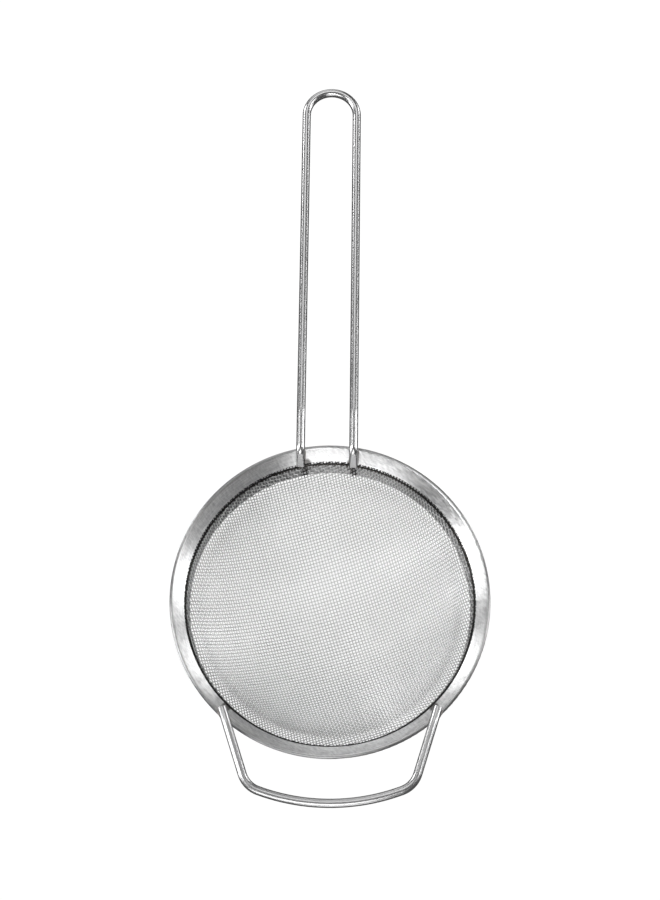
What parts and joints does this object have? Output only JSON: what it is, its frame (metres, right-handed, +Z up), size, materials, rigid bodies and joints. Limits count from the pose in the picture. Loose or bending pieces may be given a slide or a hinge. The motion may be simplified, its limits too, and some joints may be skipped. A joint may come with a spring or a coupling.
{
  "type": "tea strainer",
  "caption": "Round wire-cloth tea strainer with a folded steel rim, a long bent-wire handle and a short wire loop that rests on the cup's edge.",
  "frame": {"origin": "centre of the rim, level with its top edge", "axes": "+Z up out of the bowl, +Y along the handle, -Y to the rest loop"},
  "size_m": [0.09, 0.2169, 0.0334],
  "materials": {
    "band_steel": "satin",
    "cloth_steel": "satin",
    "wire_steel": "polished",
    "weld_steel": "satin"
  },
  "bodies": {
    "root": {"rim_band": "band_steel", "mesh_bowl": "cloth_steel", "handle": "wire_steel", "rest_loop": "wire_steel", "weld_handle_left": "weld_steel", "weld_handle_right": "weld_steel", "weld_rest_left": "weld_steel", "weld_rest_right": "weld_steel"}
  },
  "joints": []
}
